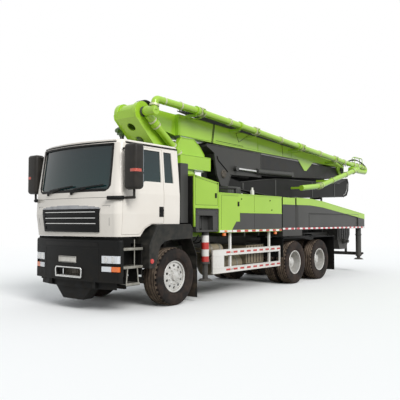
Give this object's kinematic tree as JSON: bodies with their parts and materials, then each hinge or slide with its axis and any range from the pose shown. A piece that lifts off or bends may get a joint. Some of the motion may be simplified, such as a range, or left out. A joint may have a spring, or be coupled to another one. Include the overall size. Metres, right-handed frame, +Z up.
{
  "type": "concrete pump truck",
  "caption": "Concrete pump truck with a folding placing boom over the cab, side outriggers, twin-cylinder pump and rear hopper.",
  "frame": {"origin": "on the ground, midway between the grille's foremost point and the boom's rearmost pipe bend, on the truck's centre plane", "axes": "+X to the rear along the frame, +Y to the truck's right, +Z up"},
  "size_m": [12.478, 3.0306, 4.0628],
  "materials": {
    "cab_paint": "gloss",
    "green_paint": "gloss",
    "grey_paint": "satin",
    "frame_paint": "satin",
    "guard_paint": "gloss",
    "wheel_paint": "satin",
    "tyre": "matte",
    "black_plastic": "matte",
    "interior_plastic": "matte",
    "lamp_lens": "gloss",
    "window_glass": "gloss",
    "rod_chrome": "gloss",
    "worn_steel": "satin",
    "tank_paint": "satin"
  },
  "bodies": {
    "chassis": {"chassis_frame": "frame_paint", "front_axle": "frame_paint", "rear_axles": "frame_paint", "engine_block": "frame_paint", "cab_shell": "cab_paint", "cab_glass": "window_glass", "cab_interior": "interior_plastic", "bumper": "black_plastic", "head_lamps": "lamp_lens", "grille": "black_plastic", "cab_steps": "black_plastic", "front_mudguards": "black_plastic", "body_frame": "frame_paint", "side_lockers": "green_paint", "side_guards": "guard_paint", "rear_mudguards": "black_plastic", "tanks": "tank_paint", "intake_stack": "grey_paint", "slew_pedestal": "green_paint", "pump_unit": "grey_paint", "hopper": "grey_paint"},
    "steering_left": {"knuckle_left": "frame_paint"},
    "steering_right": {"knuckle_right": "frame_paint"},
    "front_wheel_left": {"front_tyre_left": "tyre", "front_rim_left": "wheel_paint"},
    "front_wheel_right": {"front_tyre_right": "tyre", "front_rim_right": "wheel_paint"},
    "rear_wheels_1_left": {"rear_tyres_1_left": "tyre", "rear_rims_1_left": "wheel_paint"},
    "rear_wheels_1_right": {"rear_tyres_1_right": "tyre", "rear_rims_1_right": "wheel_paint"},
    "rear_wheels_2_left": {"rear_tyres_2_left": "tyre", "rear_rims_2_left": "wheel_paint"},
    "rear_wheels_2_right": {"rear_tyres_2_right": "tyre", "rear_rims_2_right": "wheel_paint"},
    "cab_door_left": {"door_left": "cab_paint", "door_glass_left": "window_glass", "mirror_left": "black_plastic"},
    "cab_door_right": {"door_right": "cab_paint", "door_glass_right": "window_glass", "mirror_right": "black_plastic"},
    "grate": {"hopper_grate": "grey_paint"},
    "agitator_shaft": {"agitator": "worn_steel"},
    "front_leg_left": {"front_outrigger_left": "grey_paint"},
    "front_leg_right": {"front_outrigger_right": "grey_paint"},
    "front_foot_left": {"front_jack_left": "rod_chrome"},
    "front_foot_right": {"front_jack_right": "rod_chrome"},
    "rear_leg_left": {"rear_outrigger_left": "grey_paint"},
    "rear_leg_right": {"rear_outrigger_right": "grey_paint"},
    "rear_foot_left": {"rear_jack_left": "rod_chrome"},
    "rear_foot_right": {"rear_jack_right": "rod_chrome"},
    "slewing_column": {"turret": "green_paint"},
    "boom_1": {"arm_1": "green_paint"},
    "boom_2": {"arm_2": "grey_paint", "arm_2_pipe": "green_paint"},
    "boom_3": {"arm_3": "grey_paint"},
    "boom_4": {"arm_4": "grey_paint"},
    "boom_5": {"arm_5": "grey_paint"},
    "cylinder_barrel": {"lift_barrel": "grey_paint"},
    "cylinder_rod": {"lift_rod": "rod_chrome"}
  },
  "joints": [
    {"name": "steer_left", "type": "hinge", "parent": "chassis", "child": "steering_left", "pos_m": [-4.616, -0.85, 0.54], "axis": [0, 0, 1], "range_deg": [-38, 38]},
    {"name": "steer_right", "type": "hinge", "parent": "chassis", "child": "steering_right", "pos_m": [-4.616, 0.85, 0.54], "axis": [0, 0, 1], "range_deg": [-38, 38]},
    {"name": "front_wheel_left_spin", "type": "hinge", "parent": "steering_left", "child": "front_wheel_left", "pos_m": [-4.616, -1.005, 0.54], "axis": [0, 1, 0], "continuous": true},
    {"name": "front_wheel_right_spin", "type": "hinge", "parent": "steering_right", "child": "front_wheel_right", "pos_m": [-4.616, 1.005, 0.54], "axis": [0, 1, 0], "continuous": true},
    {"name": "rear_wheels_1_left_spin", "type": "hinge", "parent": "chassis", "child": "rear_wheels_1_left", "pos_m": [0.024, -1.033, 0.54], "axis": [0, 1, 0], "continuous": true},
    {"name": "rear_wheels_1_right_spin", "type": "hinge", "parent": "chassis", "child": "rear_wheels_1_right", "pos_m": [0.024, 1.033, 0.54], "axis": [0, 1, 0], "continuous": true},
    {"name": "rear_wheels_2_left_spin", "type": "hinge", "parent": "chassis", "child": "rear_wheels_2_left", "pos_m": [1.424, -1.033, 0.54], "axis": [0, 1, 0], "continuous": true},
    {"name": "rear_wheels_2_right_spin", "type": "hinge", "parent": "chassis", "child": "rear_wheels_2_right", "pos_m": [1.424, 1.033, 0.54], "axis": [0, 1, 0], "continuous": true},
    {"name": "door_left_swing", "type": "hinge", "parent": "chassis", "child": "cab_door_left", "pos_m": [-5.981, -1.188, 2], "axis": [0, 0, -1], "range_deg": [0, 70]},
    {"name": "door_right_swing", "type": "hinge", "parent": "chassis", "child": "cab_door_right", "pos_m": [-5.981, 1.188, 2], "axis": [0, 0, 1], "range_deg": [0, 70]},
    {"name": "grate_tilt", "type": "hinge", "parent": "chassis", "child": "grate", "pos_m": [3.724, 0, 1.466], "axis": [0, -1, 0], "range_deg": [0, 75]},
    {"name": "agitator_spin", "type": "hinge", "parent": "chassis", "child": "agitator_shaft", "pos_m": [4.084, 0, 0.95], "axis": [0, 1, 0], "continuous": true},
    {"name": "front_leg_left_reach", "type": "slide", "parent": "chassis", "child": "front_leg_left", "axis": [0, -1, 0], "range_m": [0, 0.85]},
    {"name": "front_foot_left_drop", "type": "slide", "parent": "front_leg_left", "child": "front_foot_left", "axis": [0, 0, -1], "range_m": [0, 0.38]},
    {"name": "rear_leg_left_swing", "type": "hinge", "parent": "chassis", "child": "rear_leg_left", "pos_m": [0.104, -1.12, 1.7], "axis": [0, 0, -1], "range_deg": [0, 80]},
    {"name": "rear_foot_left_drop", "type": "slide", "parent": "rear_leg_left", "child": "rear_foot_left", "axis": [0, 0, -1], "range_m": [0, 0.38]},
    {"name": "front_leg_right_reach", "type": "slide", "parent": "chassis", "child": "front_leg_right", "axis": [0, 1, 0], "range_m": [0, 0.85]},
    {"name": "front_foot_right_drop", "type": "slide", "parent": "front_leg_right", "child": "front_foot_right", "axis": [0, 0, -1], "range_m": [0, 0.38]},
    {"name": "rear_leg_right_swing", "type": "hinge", "parent": "chassis", "child": "rear_leg_right", "pos_m": [0.104, 1.12, 1.7], "axis": [0, 0, 1], "range_deg": [0, 80]},
    {"name": "rear_foot_right_drop", "type": "slide", "parent": "rear_leg_right", "child": "rear_foot_right", "axis": [0, 0, -1], "range_m": [0, 0.38]},
    {"name": "column_slew", "type": "hinge", "parent": "chassis", "child": "slewing_column", "pos_m": [-3.266, 0, 2.65], "axis": [0, 0, 1], "range_deg": [-180, 180]},
    {"name": "boom_1_lift", "type": "hinge", "parent": "slewing_column", "child": "boom_1", "pos_m": [-4.616, 0, 3.76], "axis": [0, -1, 0], "range_deg": [0, 90]},
    {"name": "boom_2_fold", "type": "hinge", "parent": "boom_1", "child": "boom_2", "pos_m": [4.934, 0, 3.29], "axis": [0, -1, 0], "range_deg": [0, 180]},
    {"name": "boom_3_fold", "type": "hinge", "parent": "boom_2", "child": "boom_3", "pos_m": [-1.916, 0, 2.7], "axis": [0, 1, 0], "range_deg": [0, 180]},
    {"name": "boom_4_fold", "type": "hinge", "parent": "boom_3", "child": "boom_4", "pos_m": [5.084, 0, 2.75], "axis": [0, 1, 0], "range_deg": [0, 180]},
    {"name": "boom_5_fold", "type": "hinge", "parent": "boom_4", "child": "boom_5", "pos_m": [-1.416, 0, 2.76], "axis": [0, -1, 0], "range_deg": [0, 180]},
    {"name": "cylinder_tilt", "type": "hinge", "parent": "slewing_column", "child": "cylinder_barrel", "pos_m": [-3.116, 0, 2.96], "axis": [0, -1, 0], "range_deg": [-13, 0]},
    {"name": "cylinder_stroke", "type": "slide", "parent": "cylinder_barrel", "child": "cylinder_rod", "axis": [-0.8458, 0, 0.5336], "range_m": [0, 0.65]}
  ],
  "couplings": [
    {"joint": "steer_right", "follows": "steer_left", "ratio": 1},
    {"joint": "column_slew", "follows": "boom_1_lift", "ratio": 0.5},
    {"joint": "boom_2_fold", "follows": "boom_1_lift", "ratio": 0.3},
    {"joint": "boom_3_fold", "follows": "boom_1_lift", "ratio": 1.3},
    {"joint": "boom_4_fold", "follows": "boom_1_lift", "ratio": 1},
    {"joint": "boom_5_fold", "follows": "boom_1_lift", "ratio": 1},
    {"joint": "cylinder_tilt", "follows": "boom_1_lift", "ratio": -0.125},
    {"joint": "cylinder_stroke", "follows": "boom_1_lift", "m_per_rad": 0.41}
  ]
}
